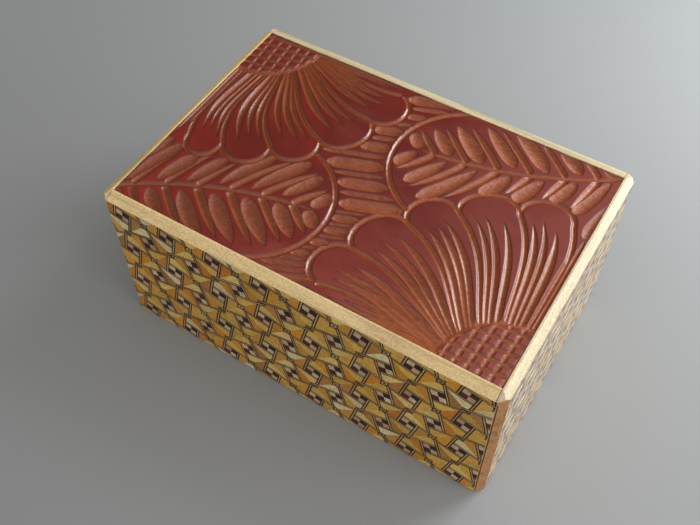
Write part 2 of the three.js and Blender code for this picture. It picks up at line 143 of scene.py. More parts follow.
# Tone, contrast and roughness of the plain wood in each slot
WOOD_LOOKS = {
    "border_wood": (BORDER_TONE, 0.14, 0.5),
    "core_wood": (CORE_TONE, 0.22, 0.5),
    "inner_wood": (INNER_TONE, 0.14, 0.62),
    "key_wood": (KEY_TONE, 0.25, 0.6),
    "marquetry": (CORE_TONE, 0.2, 0.5),
    "lacquered_wood": (LACQUER_MIDDLE, 0.2, 0.4),
}

# Marquetry: lengths in millimetres, waves per millimetre. The phase is where one block of checks sits.
PATTERN_STEP = 18.8
PATTERN_PHASE = (8.2, 61.4)
LINE_OFFSET = 3.27
LINE_SLOPE = 0.25
STRIP_WIDTH = 1.36
STRIP_EDGE = 0.44
KNOT_SIZE = 3.0
KNOT_DOT_MARGIN = 0.62
SMALLEST_AREA = 1e-5
FACING_OUT = 0.99
INLAY_SEED = 7
INLAY_TONE_SPREAD = (0.93, 1.06)
INLAY_GRAIN_JUMP = 40
INLAY_BAND_WAVES = (0.35, 2.2, 1)
INLAY_BAND_SHADE = (196, 186, 172)
INLAY_FIBRE_WAVES = (1.2, 16, 1)
INLAY_FIBRE_SHADE = (212, 202, 188)
INLAY_ROUGHNESS = (0.42, 0.32)
INLAY_SPECULAR = 0.1
INLAY_BUMP = 0.02
VARNISH_ROUGHNESS = 0.15
SIDE_VARNISH = 0.2
END_VARNISH = 0.9
# Both end sheets have brightened and paled tones: painted light and painted sheen, as seen on the lit right
# end.
END_PAINTED_LIGHT_LIFT = 1.25
END_PAINTED_SHEEN_RICHNESS = 0.82
BARE_WOOD = (0.4, 0.3, 0.2, 1)

# Tones that each kind of inlaid piece is drawn from
WOODS = {
    "warm": [(228, 148, 38), (228, 176, 78), (218, 158, 60), (232, 184, 84), (196, 142, 74), (232, 166, 50)],
    "light": [(246, 214, 116), (236, 198, 98), (252, 236, 184), (230, 188, 84), (246, 218, 136)],
    "line": [(30, 17, 8), (38, 22, 12), (26, 14, 7)],
    "pale": [(206, 170, 118), (190, 152, 102), (214, 180, 128)],
    "white": [(226, 204, 164), (232, 210, 176), (222, 178, 146)],
    "dark": [(52, 28, 32), (66, 30, 32), (44, 26, 32)],
    "plum": [(104, 46, 38), (88, 36, 36), (64, 30, 34)],
    "knot_dot": [(40, 24, 18)],
    "knot_pale": [(196, 166, 120), (176, 146, 104)],
    "knot_edge": [(40, 26, 18)],
    "gap": [(124, 88, 50), (108, 76, 44)],
}

# Node, body, and axis and direction of the face that shows, for each marquetry sheet
SHEETS = (
    ("front_marquetry", "box", 1, -1),
    ("back_marquetry", "box", 1, 1),
    ("right_end_marquetry", "right_end", 0, 1),
    ("right_top_batten_marquetry", "top", 0, 1),
    ("left_end_marquetry", "left_end", 0, -1),
    ("left_bottom_batten_marquetry", "bottom", 0, -1),
)

# Carving: lengths in millimetres, angles and headings in degrees. A SPREAD is the range of a random draw.
# A rough layer has its step along X, its step along Y and its share.
CARVING_SEED = 11
GRID_STEP = 0.25
LINE_STEP = 0.4
TONGUE_OUT = 2.0
TONGUE_TOP = 1.9
RUN_OFF = 4.0
SHORTEST_RUN = 5
NARROWEST = 0.02
EDGE_FADE = 1.6
EDGE_SHALLOW = 0.4
ROUGH_SEED = 5
ROUGH_DEPTH = 0.11
ROUGH_LAYERS = ((1.8, 0.6, 0.6), (0.6, 0.84, 0.4))
ROUGH_SMOOTH_SHARE = 0.3
ROUGH_FULL_DEPTH = 0.5
TORN_FULL_DEPTH = 0.3
OUTLINE_WIDTH = 2.05
OUTLINE_DEPTH = 0.75
OUTLINE_MARGIN = 1.3

# Flowers
DISC_RADIUS = 22.8
DISC_RIM_WIDTH = 2.9
DISC_RIM_ANGLES = (-4, 94)
DISC_SPACING = 4.0
DISC_LINE = 1.8
DISC_DEPTH = 0.6
PETAL_STEPS = 16
PETAL_LOBE = 8.0
PETAL_ROOT = 24.0
PETAL_BEND = 48.0
PETAL_RETURN = 3.8
PETAL_RETURN_LENGTH = 20.0
PETAL_MODEL_REACH = 73.5
VEIN_SHARES = (0.19, 0.42, 0.65)
VEIN_WIDTH = 2.8
VEIN_DEPTH = 0.9
VEIN_REACH_SPREAD = (-4.0, 0.0)
VEIN_LEAN_SPREAD = (-0.03, 0.03)
VEIN_DEPTH_SPREAD = (0.85, 1.2)
VEIN_WIDTH_SPREAD = (0.85, 1.15)
BORDER_LINE_WIDTH = 2.1
BORDER_LINES = ((0.9, 40), (2.4, 34))

# Leaves. Each half of a leaf has the headings of its veins and gouges, which are those of the first cut at
# its start and end and what each further cut adds to them, and the taper of its gouges at both ends.
LEAF_VEINS = 6
LEAF_FIRST_GOUGE = -2
LEAF_VEIN_LENGTH = 27.0
LEAF_VEIN_TAPER = (0.1, 0.6)
LEAF_ROOT_EXTRA = 8.0
LEAF_EDGE_ANGLES = (76, -64)
LEAF_TIP_MARGIN = 4.2
LEAF_TIP_SPREAD = (-1.0, 1.0)
LEAF_LAST_MARGIN = 1.8
LEAF_ROOM = 0.3
LEAF_CUT_SPREAD = (0.9, 1.05)
LEAF_HALVES = (
    {"up": 1, "veins": (84, 68, -4.5, -5.5), "gouges": (72, 68, -1.2, -5.5), "taper": (0.6, 0.25)},
    {"up": -1, "veins": (-43, -31, 0.8, -1.2), "gouges": (-41, -32, 0.5, -0.8), "taper": (0.3, 0.6)},
)
GOUGE_WIDTH = 6.0
GOUGE_DEPTH = 1.1
GOUGE_FLATNESS = 1.2
GOUGE_PLACE = 0.55
GOUGE_GAP_SPREAD = (1.4, 2.2)
GOUGE_DEPTH_SPREAD = (0.85, 1.1)
SHORT_GOUGE = 5.0
BORDER_GOUGE_START = (-75.0, -29.0)
BORDER_GOUGE_LENGTH = 13.0
BORDER_GOUGE_HEADINGS = (60, 78)
BORDER_GOUGE_SHARE = 0.8

# Strokes on the ground between flowers and leaves
GROUND_HEADING = 20
GROUND_BEND = 2
GROUND_LEAN = 1.2
GROUND_BROAD_WIDTH = 5.2
GROUND_NARROW_WIDTH = 2.3
GROUND_WIDTH_SPREAD = (0.88, 1.1)
GROUND_GAP = 0.7
GROUND_FINE_SHARE = 0.6
GROUND_FINE_BELOW = -13
GROUND_WIDEST_SHARE = 0.45
GROUND_SHALLOW = 0.35
GROUND_POINT = 5.0
GROUND_POINT_SHARE = 0.3
GROUND_LEAVE_SHARE = 1.2
GROUND_FLATNESS = 1.15
GROUND_TORN = 0.8
GROUND_ROOM = 0.6
GROUND_LEAF_GAP = 0.7


def srgb(tone):
    """Linear colour of a tone given from 0 to 255."""
    parts = [t / 255 for t in tone]
    return tuple(p / 12.92 if p <= 0.04045 else ((p + 0.055) / 1.055) ** 2.4 for p in parts)


def shaded(tone, share):
    return tuple(min(255, t * share) for t in tone)


def add_object(name, data):
    made = bpy.data.objects.new(name, data)
    bpy.context.scene.collection.objects.link(made)
    return made


def new_mesh(name, vertices, faces, materials):
    mesh = bpy.data.meshes.new(name)
    mesh.from_pydata(vertices, [], faces)
    for material in materials:
        mesh.materials.append(material)
    return mesh


# Camera and studio
def look_at(thing, place, target):
    thing.location = Vector(place) * MM
    way = Vector(target) * MM - thing.location
    thing.rotation_euler = way.to_track_quat("-Z", "Y").to_euler()


def add_camera():
    data = bpy.data.cameras.new("camera")
    data.lens = FOCAL_LENGTH
    data.sensor_width = SENSOR_WIDTH
    data.shift_x = FRAME_OFFSET_X / IMAGE_WIDTH
    data.shift_y = FRAME_OFFSET_Y / IMAGE_WIDTH
    data.clip_start = NEAREST_SEEN * MM
    camera = add_object("camera", data)
    look_at(camera, CAMERA_PLACE, CAMERA_TARGET)
    bpy.context.scene.camera = camera


def add_lamp(name, place, size, power, tone):
    data = bpy.data.lights.new(name, "AREA")
    data.shape = "RECTANGLE"
    data.size = size[0] * MM
    data.size_y = size[1] * MM
    data.energy = power
    data.color = srgb(tone)
    lamp = add_object(name, data)
    lamp.visible_camera = False
    look_at(lamp, place, LAMP_TARGET)


def add_surroundings():
    world = bpy.data.worlds.new("studio")
    world.use_nodes = True
    tree = world.node_tree
    background = tree.nodes["Background"]
    background.inputs["Color"].default_value = (*srgb(WORLD_TONE), 1)
    direction = node(tree, "ShaderNodeTexCoord").outputs["Generated"]
    parts = node(tree, "ShaderNodeSeparateXYZ", {"Vector": direction}).outputs
    walls = fit_range(tree, parts["Y"], *WORLD_SPAN, WORLD_FRONT, WORLD_BACK)
    zenith = fit_range(tree, parts["Z"], *ZENITH_SPAN, 0, ZENITH_STRENGTH)
    sideways = fit_range(tree, parts["X"], *ZENITH_SIDE_SPAN, ZENITH_LEFT_SHARE, 1.0)
    zenith = maths(tree, "MULTIPLY", zenith, sideways)
    tree.links.new(maths(tree, "ADD", walls, zenith), background.inputs["Strength"])
    bpy.context.scene.world = world


def add_floor():
    material, _, shader = new_material("floor_paper")
    shader.inputs["Base Color"].default_value = (*srgb(FLOOR_TONE), 1)
    shader.inputs["Roughness"].default_value = FLOOR_ROUGHNESS
    shader.inputs["Specular IOR Level"].default_value = FLOOR_SPECULAR
    half = FLOOR_SIZE / 2 * MM
    corners = [(x * half, y * half, 0) for x, y in SQUARE_CORNERS]
    floor = add_object("floor", new_mesh("floor", corners, [(0, 1, 2, 3)], [material]))


# Node helpers
def new_material(name):
    material = bpy.data.materials.new(name)
    material.use_nodes = True
    tree = material.node_tree
    return material, tree, tree.nodes["Principled BSDF"]


def node(tree, kind, inputs=None, **settings):
    made = tree.nodes.new(kind)
    for key, value in settings.items():
        setattr(made, key, value)
    for key, value in (inputs or {}).items():
        join(tree, value, made.inputs[key])
    return made


def join(tree, value, socket):
    """Gives a socket its value, which is another node's output or a constant."""
    if isinstance(value, bpy.types.NodeSocket):
        tree.links.new(value, socket)
    else:
        socket.default_value = value


def noise(tree, place, waves, roughness, detail=3.0, distortion=0.0):
    """Noise with so many waves along each axis."""
    spread = node(tree, "ShaderNodeMapping", {"Vector": place, "Scale": waves}).outputs["Vector"]
    made = node(tree, "ShaderNodeTexNoise", {
        "Vector": spread, "Scale": 1.0, "Detail": detail, "Roughness": roughness, "Distortion": distortion})
    return made.outputs["Fac"]


def ramp(tree, factor, stops):
    """Colour ramp through (position, tone) stops."""
    made = node(tree, "ShaderNodeValToRGB", {"Fac": factor})
    elements = made.color_ramp.elements
    while len(elements) < len(stops):
        elements.new(0.5)
    for element, (position, tone) in zip(elements, stops):
        element.position = position
        element.color = (*srgb(tone), 1)
    return made.outputs["Color"]


def mix_colour(tree, factor, first, second, clouds_and_painted_sheen="MIX"):
    made = node(tree, "ShaderNodeMix", data_type="RGBA", blend_type=clouds_and_painted_sheen)
    values = {"Factor_Float": factor, "A_Color": first, "B_Color": second}
    for socket in made.inputs:
        if socket.identifier in values:
            join(tree, values[socket.identifier], socket)
    return next(socket for socket in made.outputs if socket.identifier == "Result_Color")


def darkened(tree, colour, factor, shade, dark_at, clear_at):
    """The colour times a shade where a factor is low, and as it is where the factor is high."""
    veil = ramp(tree, factor, [(dark_at, shade), (clear_at, WHITE)])
    return mix_colour(tree, 1.0, colour, veil, "MULTIPLY")


def maths(tree, operation, *values):
    made = node(tree, "ShaderNodeMath", operation=operation)
    for socket, value in zip(made.inputs, values):
        join(tree, value, socket)
    return made.outputs["Value"]


def fit_range(tree, value, low, high, to_low=0.0, to_high=1.0):
    made = node(tree, "ShaderNodeMapRange", {
        "Value": value, "From Min": low, "From Max": high, "To Min": to_low, "To Max": to_high})
    return made.outputs["Result"]


def across_range(tree, place, span, to_low=0.0, to_high=1.0):
    """From one value to another over a span of the part, given in millimetres."""
    return fit_range(tree, place, span[0] * MM, span[1] * MM, to_low, to_high)


def set_surface(tree, shader, colour, roughness, specular, height, bump):
    """Colour, roughness and specular level of a shader, and its bump in millimetres."""
    tree.links.new(colour, shader.inputs["Base Color"])
    tree.links.new(roughness, shader.inputs["Roughness"])
    shader.inputs["Specular IOR Level"].default_value = specular
    relief = node(tree, "ShaderNodeBump", {"Height": height, "Distance": bump * MM, "Strength": 1.0})
    tree.links.new(relief.outputs["Normal"], shader.inputs["Normal"])


# Materials
def grain_waves(axis, waves):
    """Waves along x, y and z where the grain runs along one of them."""
    along, across = waves
    return tuple(along if letter == axis else across for letter in "xyz")


def wood_material(name, tone, axis, contrast, roughness):
    """Plain planed wood: broad growth bands, fine fibres and small pores along one axis."""
    material, tree, shader = new_material(name)
    coordinates = node(tree, "ShaderNodeTexCoord").outputs
    place = coordinates["Object"]
    bands = noise(tree, place, grain_waves(axis, BAND_WAVES), roughness=0.55, distortion=0.6)
    fibres = noise(tree, place, grain_waves(axis, FIBRE_WAVES), roughness=0.7)
    pores = noise(tree, place, (PORE_WAVES,) * 3, roughness=0.8)
    dark, light = shaded(tone, 1 - contrast), shaded(tone, 1 + contrast * LIGHT_BAND_SHARE)
    colour = ramp(tree, bands, [(0.3, dark), (0.5, tone), (0.7, light)])
    colour = darkened(tree, colour, fibres, shaded(WHITE, 1 - contrast), dark_at=0.25, clear_at=0.75)
    colour = darkened(tree, colour, pores, shaded(WHITE, PORE_SHADE), dark_at=0.34, clear_at=0.6)
    facing = node(tree, "ShaderNodeSeparateXYZ", {"Vector": coordinates["Normal"]}).outputs[axis.upper()]
    end_grain = fit_range(tree, maths(tree, "ABSOLUTE", facing), *END_GRAIN_FACING, 0.0, END_GRAIN_SHARE)
    end_colour = mix_colour(tree, 1.0, colour, (*srgb(END_GRAIN_SHADE), 1), "MULTIPLY")
    colour = mix_colour(tree, end_grain, colour, end_colour)
    dullness = fit_range(tree, fibres, 0.2, 0.8, roughness + 0.08, roughness - 0.06)
    set_surface(tree, shader, colour, dullness, WOOD_SPECULAR, fibres, WOOD_BUMP)
    return material


def marquetry_material(name, varnish, painted_light_lift=1.0, painted_sheen_richness=1.0):
    """Inlaid woods: each piece's own tone from the sheet, with grain along the piece, under a coat of
    varnish. Lift and richness change the brightness and the saturation of all tones; on the end sheets these
    are painted light and painted sheen."""
    material, tree, shader = new_material(name)
    tone = node(tree, "ShaderNodeVertexColor", layer_name="wood").outputs["Color"]
    place = node(tree, "ShaderNodeUVMap", uv_map="grain").outputs["UV"]
    bands = noise(tree, place, INLAY_BAND_WAVES, roughness=0.6, distortion=0.4)
    fibres = noise(tree, place, INLAY_FIBRE_WAVES, roughness=0.7)
    colour = darkened(tree, tone, bands, INLAY_BAND_SHADE, dark_at=0.3, clear_at=0.62)
    colour = darkened(tree, colour, fibres, INLAY_FIBRE_SHADE, dark_at=0.3, clear_at=0.65)
    changes = {"Color": colour, "Saturation": painted_sheen_richness, "Value": painted_light_lift}
    colour = node(tree, "ShaderNodeHueSaturation", changes).outputs["Color"]
    dullness = fit_range(tree, fibres, 0.25, 0.75, *INLAY_ROUGHNESS)
    set_surface(tree, shader, colour, dullness, INLAY_SPECULAR, fibres, INLAY_BUMP)
    shader.inputs["Coat Weight"].default_value = varnish
    shader.inputs["Coat Roughness"].default_value = VARNISH_ROUGHNESS
    return material


def lacquer_material():
    """Red lacquer over carved wood: dark where it is smooth, brown and rough where the gouge has cut."""
    material, tree, shader = new_material("carved_lacquer")
    place = node(tree, "ShaderNodeTexCoord").outputs["Object"]
    along, across, _ = node(tree, "ShaderNodeSeparateXYZ", {"Vector": place}).outputs
    cut = node(tree, "ShaderNodeAttribute", attribute_name="cut").outputs["Fac"]
    torn = node(tree, "ShaderNodeAttribute", attribute_name="torn").outputs["Fac"]
    fibres = noise(tree, place, TORN_WAVES, roughness=0.75, detail=4.0)
    grains = noise(tree, place, (TORN_GRAIN_WAVES,) * 3, roughness=0.7)

    clouds = noise(tree, place, CLOUD_WAVES, roughness=0.6)
    clouds = maths(tree, "MULTIPLY", maths(tree, "SUBTRACT", clouds, 0.5), CLOUD_CONTRAST)
    # Painted sheen and light: the lacquer grows paler and violet towards the right, over random clouds of
    # tone.
    clouds_and_painted_sheen = maths(tree, "ADD", clouds, across_range(tree, along, (-LACQUER_REACH, LACQUER_REACH)))
    smooth = ramp(tree, clouds_and_painted_sheen, list(zip(LACQUER_STOPS, (LACQUER_LEFT, LACQUER_MIDDLE, LACQUER_RIGHT_PAINTED_SHEEN))))
    # Painted sheen: the smooth lacquer is brightened towards the near edge.
    painted_sheen = across_range(tree, across, NEAR_PAINTED_SHEEN_SPAN, NEAR_PAINTED_SHEEN, 1.0)
    painted_sheen_colour = node(tree, "ShaderNodeCombineColor", {"Red": painted_sheen, "Green": painted_sheen, "Blue": painted_sheen})
    smooth = mix_colour(tree, 1.0, smooth, painted_sheen_colour.outputs["Color"], "MULTIPLY")

    # Painted light: the cut wood grows lighter towards the right.
    painted_light_rightward = across_range(tree, along, CUT_PAINTED_LIGHT_SPAN)
    fresh_cut_painted_lit = mix_colour(tree, painted_light_rightward, (*srgb(CUT_LEFT), 1), (*srgb(CUT_RIGHT_PAINTED_LIT), 1))
    carved = mix_colour(tree, fit_range(tree, fibres, *CUT_FIBRE_SPAN), (*srgb(CUT_DARK), 1), fresh_cut_painted_lit)
    colour = mix_colour(tree, fit_range(tree, cut, *SHADOW_DEPTHS), smooth, (*srgb(LACQUER_SHADOW), 1))
    colour = mix_colour(tree, fit_range(tree, cut, *CUT_DEPTHS), colour, carved)

    relief = maths(tree, "MULTIPLY", fibres, FIBRE_RELIEF)
    relief = maths(tree, "ADD", relief, maths(tree, "MULTIPLY", grains, GRAIN_RELIEF))
    relief = maths(tree, "MULTIPLY", relief, fit_range(tree, torn, 0, 1, SMOOTH_RELIEF, 1.0))
    dullness = fit_range(tree, torn, 0, 1, LACQUER_ROUGHNESS, CUT_ROUGHNESS)
    set_surface(tree, shader, colour, dullness, LACQUER_SPECULAR, relief, LACQUER_BUMP)
    return material


# Flat geometry. A line is (a, b, c) with a*u + b*v = c, and a polygon is a list of (u, v) corners.
def line_meet(first, second):
    a, b, c = first
    d, e, f = second
    determinant = a * e - b * d
    return ((c * e - b * f) / determinant, (a * f - c * d) / determinant)


def shifted(line, distance):
    a, b, c = line
    return (a, b, c + distance * math.hypot(a, b))


def moved(polygon, du, dv):
    return [(u + du, v + dv) for u, v in polygon]


def quarter_turned(point, count):
    u, v = point
    for _ in range(count % 4):
        u, v = v, -u
    return (u, v)


def signed_area(polygon):
    """Area of a polygon, above zero where its corners run counter-clockwise."""
    return sum(p[0] * q[1] - q[0] * p[1] for p, q in zip(polygon, polygon[1:] + polygon[:1])) / 2


def counter_clockwise(polygon):
    return polygon if signed_area(polygon) > 0 else polygon[::-1]


def clip(polygon, line):
    """The part of a convex polygon where a*u + b*v <= c."""
    a, b, c = line
    kept = []
    for i, point in enumerate(polygon):
        other = polygon[(i + 1) % len(polygon)]
        here = c - a * point[0] - b * point[1]
        there = c - a * other[0] - b * other[1]
        if here >= 0:
            kept.append(point)
        if (here > 0 > there) or (here < 0 < there):
            share = here / (here - there)
            kept.append(tuple(p + share * (q - p) for p, q in zip(point, other)))
    return kept if len(kept) > 2 and abs(signed_area(kept)) > SMALLEST_AREA else []


def without(polygon, hole):
    """Convex parts of a polygon left when a convex, counter-clockwise hole is cut out."""
    parts = []
    rest = polygon
    for p, q in zip(hole, hole[1:] + hole[:1]):
        a, b = q[1] - p[1], p[0] - q[0]
        side = (a, b, a * p[0] + b * p[1])
        outside = clip(rest, tuple(-s for s in side))
        if outside:
            parts.append(outside)
        rest = clip(rest, side)
        if not rest:
            return parts
    return parts


def overlapping(first, second):
    """Whether the upright boxes round two polygons overlap."""
    return all(min(a) < max(b) and max(a) > min(b) for a, b in zip(zip(*first), zip(*second)))


def square(centre, half, lean=0.0):
    """A square, or with a lean a diamond drawn out towards the upper right."""
    u, v = centre
    return [(u + half * (i + lean * j), v + half * (j + lean * i)) for i, j in SQUARE_CORNERS]


def strip(line, start, end, low, high):
    """Part of a straight strip between two offsets of its middle line."""
    return [
        line_meet(shifted(line, low), start), line_meet(shifted(line, low), end),
        line_meet(shifted(line, high), end), line_meet(shifted(line, high), start)]


# Marquetry pattern. One repeat is centred on a block of checks. Pieces are (kind, polygon).
HALF_STEP = PATTERN_STEP / 2
KNOT_HALF = KNOT_SIZE / 2
STRIP_HALF = STRIP_WIDTH / 2
TOP_LINE = (LINE_SLOPE, 1, LINE_OFFSET)
LEFT_LINE = (1, -LINE_SLOPE, -LINE_OFFSET)
RIGHT_LINE = (1, -LINE_SLOPE, LINE_OFFSET)


def knot_pieces():
    """A small diamond with a dark edge and a dark dot, where strips meet."""
    sizes = {
        "knot_dot": KNOT_HALF - STRIP_EDGE - KNOT_DOT_MARGIN, "knot_pale": KNOT_HALF - STRIP_EDGE,
        "knot_edge": KNOT_HALF}
    return [(kind, square((HALF_STEP, 0), half, LINE_SLOPE)) for kind, half in sizes.items()]


def check_pieces():
    """The block of four checks, and its mirror image half a repeat away."""
    size = LINE_OFFSET / math.hypot(1, LINE_SLOPE) - STRIP_HALF
    pieces = []
    for mirror in (1, -1):
        centre = (0, 0) if mirror == 1 else (HALF_STEP, -HALF_STEP)
        turn = math.atan(LINE_SLOPE) * -mirror
        for i, j, kind in ((-1, 1, "white"), (1, 1, "dark"), (-1, -1, "plum"), (1, -1, "white")):
            corners = [(0, 0), (i * size, 0), (i * size, j * size), (0, j * size)]
            turned = [
                (centre[0] + u * math.cos(turn) - v * math.sin(turn),
                 centre[1] + u * math.sin(turn) + v * math.cos(turn)) for u, v in corners]
            pieces.append((kind, turned))
    return pieces


def strip_pieces():
    """Four pale strips with dark edges round each block of checks."""
    bands = (
        ("line", -STRIP_HALF, STRIP_EDGE - STRIP_HALF),
        ("pale", STRIP_EDGE - STRIP_HALF, STRIP_HALF - STRIP_EDGE),
        ("line", STRIP_HALF - STRIP_EDGE, STRIP_HALF))
    start = shifted(LEFT_LINE, STRIP_HALF)
    end = (1, 0, HALF_STEP)
    pieces = []
    for turns in range(4):
        for kind, low, high in bands:
            corners = strip(TOP_LINE, start, end, low, high)
            pieces.append((kind, [quarter_turned(p, turns) for p in corners]))
            mirrored = [quarter_turned((-u, v), turns) for u, v in corners]
            pieces.append((kind, moved(mirrored, HALF_STEP, -HALF_STEP)))
    return pieces


def field_pieces():
    """The warm and the light field in each quarter, between the strips."""
    next_right = (1, LINE_SLOPE, HALF_STEP + LINE_OFFSET - HALF_STEP * LINE_SLOPE)
    next_top = (-LINE_SLOPE, 1, LINE_OFFSET - HALF_STEP - HALF_STEP * LINE_SLOPE)
    strips_cross = line_meet(RIGHT_LINE, TOP_LINE)
    knot_top = line_meet(TOP_LINE, (1, 0, HALF_STEP - KNOT_HALF))
    knot_corner = (HALF_STEP - KNOT_HALF, -KNOT_HALF)
    knot_side = line_meet((0, 1, -KNOT_HALF), next_right)
    next_cross = line_meet(next_right, next_top)
    far_end = line_meet(RIGHT_LINE, next_top)
    pieces = []
    for turns in range(4):
        near, far = ("warm", "light") if turns % 2 == 0 else ("light", "warm")
        near_field = (far_end, knot_corner, knot_top, strips_cross)
        far_field = (far_end, next_cross, knot_side, knot_corner)
        pieces.append((near, [quarter_turned(p, turns) for p in near_field]))
        pieces.append((far, [quarter_turned(p, turns) for p in far_field]))
    return pieces


def gap_pieces():
    """Small squares where the fields of four quarters meet."""
    return [("gap", square(quarter_turned((HALF_STEP, 0), turns), KNOT_HALF)) for turns in (0, 1)]


def partition_cell():
    """The repeat's pieces with nothing overlapping, as (kind, convex parts). Earlier pieces come first."""
    pieces = knot_pieces() + check_pieces() + strip_pieces() + field_pieces() + gap_pieces()
    shapes = [(kind, counter_clockwise(polygon)) for kind, polygon in pieces]
    shifts = [(i * PATTERN_STEP, j * PATTERN_STEP) for i in (-1, 0, 1) for j in (-1, 0, 1)]
    cell = []
    for rank, (kind, polygon) in enumerate(shapes):
        parts = [polygon]
        for _, above in shapes[:rank]:
            for du, dv in shifts:
                hole = moved(above, du, dv)
                parts = [
                    piece for part in parts
                    for piece in (without(part, hole) if overlapping(part, hole) else [part])]
        cell.append((kind, parts))
    return cell


def pattern_window(cell, low, high):
    """Pieces of the pattern inside a rectangle, as (tone, grain angle, polygons)."""
    window = [(1, 0, high[0]), (-1, 0, -low[0]), (0, 1, high[1]), (0, -1, -low[1])]
    chooser = random.Random(INLAY_SEED)
    first = [math.floor((edge - phase) / PATTERN_STEP) - 1 for edge, phase in zip(low, PATTERN_PHASE)]
    last = [math.ceil((edge - phase) / PATTERN_STEP) + 1 for edge, phase in zip(high, PATTERN_PHASE)]
    for i in range(first[0], last[0] + 1):
        for j in range(first[1], last[1] + 1):
            du, dv = PATTERN_PHASE[0] + i * PATTERN_STEP, PATTERN_PHASE[1] + j * PATTERN_STEP
            for kind, parts in cell:
                tone = shaded(chooser.choice(WOODS[kind]), chooser.uniform(*INLAY_TONE_SPREAD))
                angle = chooser.uniform(0, math.pi)
                kept = []
                for part in parts:
                    polygon = moved(part, du, dv)
                    for side in window:
                        polygon = clip(polygon, side) if polygon else polygon
                    if polygon:
                        kept.append(polygon)
                if kept:
                    yield tone, angle, kept


class InlaidFaces:
    """Faces of a sheet as they are gathered, each with a material, a tone and coordinates for its grain."""

    def __init__(self):
        self.vertices, self.faces, self.slots, self.tones, self.grains = [], [], [], [], []

    def add(self, corners, slot, tone, grains):
        first = len(self.vertices)
        self.faces.append(list(range(first, first + len(corners))))
        self.vertices.extend(corners)
        self.slots.append(slot)
        self.tones.extend([tone] * len(corners))
        self.grains.extend(grains)

    def mesh(self, name, materials):
        mesh = new_mesh(name, self.vertices, self.faces, materials)
        mesh.polygons.foreach_set("material_index", self.slots)
        layer = mesh.uv_layers.new(name="grain")
        layer.data.foreach_set("uv", [x for pair in self.grains for x in pair])
        colours = mesh.color_attributes.new("wood", "FLOAT_COLOR", "CORNER")
        colours.data.foreach_set("color", [x for tone in self.tones for x in tone])
        mesh.update()
        return mesh


def dress_marquetry(cad_name, body, axis, sign, cell, materials):
    """A copy of a marquetry sheet with its outward face divided into the inlaid pieces."""
    source = frame["nodes"][cad_name].data
    along = 1 - axis
    faces = InlaidFaces()
    outer = []
    for polygon in source.polygons:
        corners = [source.vertices[i].co.copy() for i in polygon.vertices]
        if polygon.normal[axis] * sign > FACING_OUT:
            outer.extend(corners)
        else:
            faces.add(corners, 1, BARE_WOOD, [(c[along] / MM, c.z / MM) for c in corners])
    plane = outer[0][axis]
    mirror = -sign if axis == 1 else sign
    run = [c[along] / MM * mirror for c in outer]
    rise = [c.z / MM for c in outer]
    for tone, angle, polygons in pattern_window(cell, (min(run), min(rise)), (max(run), max(rise))):
        cosine, sine = math.cos(angle), math.sin(angle)
        jump = angle * INLAY_GRAIN_JUMP
        for polygon in polygons:
            corners = []
            for u, v in polygon:
                place = [0, 0, v * MM]
                place[along] = u * mirror * MM
                place[axis] = plane
                corners.append(place)
            grains = [(u * cosine + v * sine + jump, v * cosine - u * sine) for u, v in polygon]
            faces.add(corners, 0, (*srgb(tone), 1), grains)
    name = cad_name + "_inlay"
    sheet = add_object(name, faces.mesh(name, materials))
    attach(sheet, body)
    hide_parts(cad_name)


# Lines for the carving, as lists of points in millimetres
def spaced(start, end, count):
    """Values from start to end in so many equal steps."""
    return [start + (end - start) * k / count for k in range(count + 1)]


def arc(centre, radius, start, end, count=24):
    angles = [math.radians(angle) for angle in spaced(start, end, count)]
    return [(centre[0] + radius * math.cos(a), centre[1] + radius * math.sin(a)) for a in angles]


def thinned(line, count=12):
    """The same line with fewer points."""
    last = len(line) - 1
    picked = sorted({round(last * i / count) for i in range(count + 1)})
    return [line[i] for i in picked]


def bent_line(start, length, first, last):
    """A line that leaves with one heading and ends with another, in degrees."""
    count = max(4, int(length / LINE_STEP))
    points = [start]
    for i in range(count):
        heading = math.radians(first + (last - first) * (i + 0.5) / count)
        x, y = points[-1]
        points.append((x + math.cos(heading) * length / count, y + math.sin(heading) * length / count))
    return points


def eased(share, stretch):
    """Rises from 0 to 1 over a stretch, ever more gently. Without a stretch it is 1 at once."""
    if not stretch:
        return np.ones_like(share)
    rise = np.clip(share / stretch, 0, 1)
    return rise * (2 - rise)


